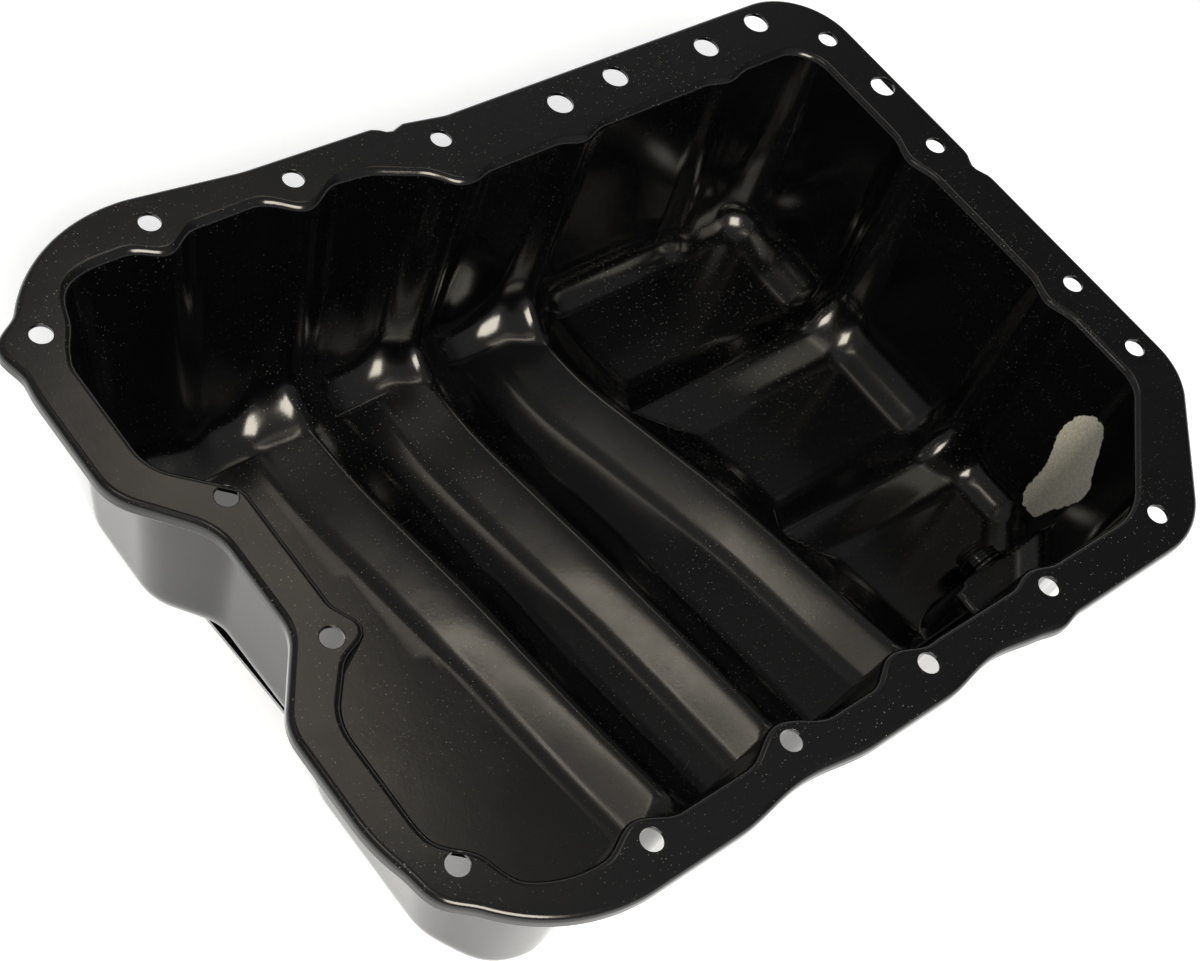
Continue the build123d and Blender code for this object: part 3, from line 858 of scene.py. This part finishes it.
paint, graph, shader = black_enamel("gloss_black_enamel", 0.13, 0.21, 1.0)
add_patch(graph, shader)
nut_paint, _, _ = black_enamel("gloss_black_enamel_on_nut", 0.06, 0.10, 0.2)
oxide = metal(
    "black_oxide_steel", 0.6, (90, 4), (0.018, 0.018, 0.020, 1), (0.050, 0.048, 0.045, 1),
    (300, 3), 0.28, 0.45,
)
alloy = metal(
    "washer_alloy", 1.0, (150, 4), (0.55, 0.55, 0.56, 1), (0.74, 0.74, 0.75, 1),
    (500, 2), 0.25, 0.40,
)
for piece, mat in ((body, paint), (nut, nut_paint), (washer, alloy), (plug, oxide)):
    piece.data.materials.append(mat)

# Floor: it glows a little where it is seen straight, more so far away, and where it is mirrored

white, graph, shader = material("white_floor")
shader["Base Color"].default_value = (0.83, 0.865, 0.94, 1)
shader["Roughness"].default_value = 0.9
shader["Emission Color"].default_value = (1, 1, 1, 1)
path = graph.node("LightPath").outputs
distance = graph.nodes.new("ShaderNodeVectorMath")
distance.operation = "LENGTH"
graph.put(graph.coords["Object"], distance.inputs[0])
whiter = graph.span(distance.outputs["Value"], 0.5, 2.0, 0.5, 1.0)
seen = graph.joined("MAXIMUM", path["Is Camera Ray"], path["Is Transmission Ray"])
seen = graph.joined("MULTIPLY", seen, whiter)
mirrored = graph.joined("MULTIPLY", path["Is Glossy Ray"], 0.75)
graph.put(graph.joined("MAXIMUM", seen, mirrored), shader["Emission Strength"])
bpy.ops.mesh.primitive_plane_add(size=30, location=(0, 0, cad_low.z))
floor = bpy.context.object
floor.name = "floor"
floor.data.materials.append(white)

# The room: white at the horizon; above, dim on the right, brighter on the left and in front, and
# brighter again at the back

world = bpy.data.worlds.new("studio")
bpy.context.scene.world = world
world.use_nodes = True
graph = Graph(world.node_tree)
way = graph.parts(graph.coords["Generated"])
left = graph.span(way["X"], 0.34, 0.46, 0.24, 0.12)
right_side = graph.span(way["X"], 0.45, 0.70, 0.36, 0.12)
low_front = graph.span(way["Y"], 0.22, 0.30, 1.0, 0.35)
behind = graph.span(way["Y"], 0.38, 0.5, 0.1, 0.33)
horizon = graph.span(way["Z"], 0.10, 0.22, 1.0, 0.0)
room = graph.joined("MULTIPLY", right_side, low_front)
background = graph.nodes["Background"].inputs
graph.put(graph.joined("MAXIMUM", room, left, behind, horizon), background["Strength"])
background["Color"].default_value = (1, 0.985, 0.965, 1)


# Lamps, in metres

def soft_box(name, centre, width, length, radiance, tint):
    """A rectangular lamp of a given radiance, facing straight down."""
    lamp = bpy.data.lights.new(name, "AREA")
    lamp.shape = "RECTANGLE"
    lamp.size, lamp.size_y = width, length
    lamp.energy = radiance * math.pi * width * length
    lamp.color = tint
    obj = bpy.data.objects.new(name, lamp)
    bpy.context.scene.collection.objects.link(obj)
    obj.location = centre
    return obj


CEILING = 1.5
WARM = (1.0, 0.90, 0.74)
for name, x, y, width, length, radiance, spin in (
    ("left_box", 0.537, 0.70, 0.30, 0.70, 1.6, -14),
    ("left_bar", -0.78, 0.26, 0.56, 0.11, 6.5, 145),
    ("left_wing", -0.80, -0.02, 0.90, 0.28, 0.9, 0),
    ("far_wing", -0.55, 0.86, 0.90, 0.20, 0.5, 0),
):
    centre = (x + SHIFT[0] / 1000, y + SHIFT[1] / 1000, CEILING)
    lamp = soft_box(name, centre, width, length, radiance, WARM)
    lamp.rotation_euler.z = math.radians(spin)
# The key lamp faces the pan
KEY = np.array([-0.38, -0.58, 0.72]) * 1.8
KEY_AIM = Vector((0, 0, -0.05))
key = soft_box("key_box", KEY, 0.86, 0.86, 17.6, (1.0, 0.93, 0.78))
key.rotation_euler = (KEY_AIM - Vector(KEY)).to_track_quat("-Z", "Y").to_euler()

# Camera at the photo's angle: its focal length and the photo's width in pixels
FOCAL, PHOTO_WIDTH, SENSOR = 2168.5, 1200, 36
camera_data = bpy.data.cameras.new("camera")
camera_data.sensor_width = SENSOR
camera_data.lens = FOCAL / PHOTO_WIDTH * SENSOR
camera = bpy.data.objects.new("camera", camera_data)
bpy.context.scene.collection.objects.link(camera)
right = Vector((0.7550, -0.6029, 0.2580)).normalized()
forward = Vector((0.5300, 0.3293, -0.7815)).normalized()
down = forward.cross(right).normalized()
right = down.cross(forward).normalized()
spot = Vector((-0.383 + SHIFT[0] / 1000, -0.226 + SHIFT[1] / 1000, 0.5017))
turn = Matrix((right, -down, -forward)).transposed()
camera.matrix_world = Matrix.Translation(spot) @ turn.to_4x4()
bpy.context.scene.camera = camera
bpy.context.scene.view_settings.view_transform = "Standard"
